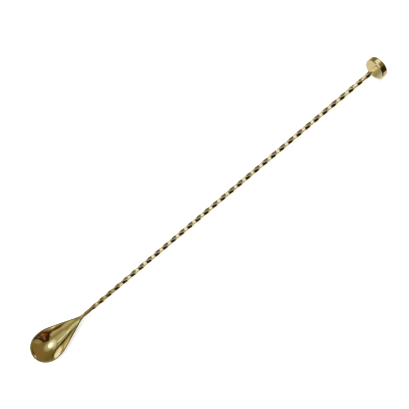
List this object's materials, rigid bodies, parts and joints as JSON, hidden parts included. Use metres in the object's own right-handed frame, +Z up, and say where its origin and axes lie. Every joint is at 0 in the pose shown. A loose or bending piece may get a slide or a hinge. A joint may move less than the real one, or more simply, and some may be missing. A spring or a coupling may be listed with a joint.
{
  "type": "bar spoon",
  "caption": "Long gold-plated bar spoon with a teardrop bowl, a right-hand twisted square stem and a flat round muddler disc on the other end.",
  "frame": {"origin": "on the table, under the middle of the spoon's length, with the bowl's belly and the disc's rim both resting at z = 0", "axes": "+X along the stem from the bowl's tip to the muddler disc, +Y to the bowl's side, +Z up, the way the bowl opens"},
  "size_m": [0.3999, 0.0294, 0.0195],
  "materials": {
    "gold_plate": "mirror-polished gold plating over stainless steel",
    "braze_seam": "smooth brazed seam under the same gold plating"
  },
  "bodies": {
    "root": {"teardrop_bowl": "gold_plate", "bowl_braze_ring": "braze_seam", "twisted_stem": "gold_plate", "disc_braze_ring": "braze_seam", "muddler_disc": "gold_plate"}
  },
  "joints": []
}
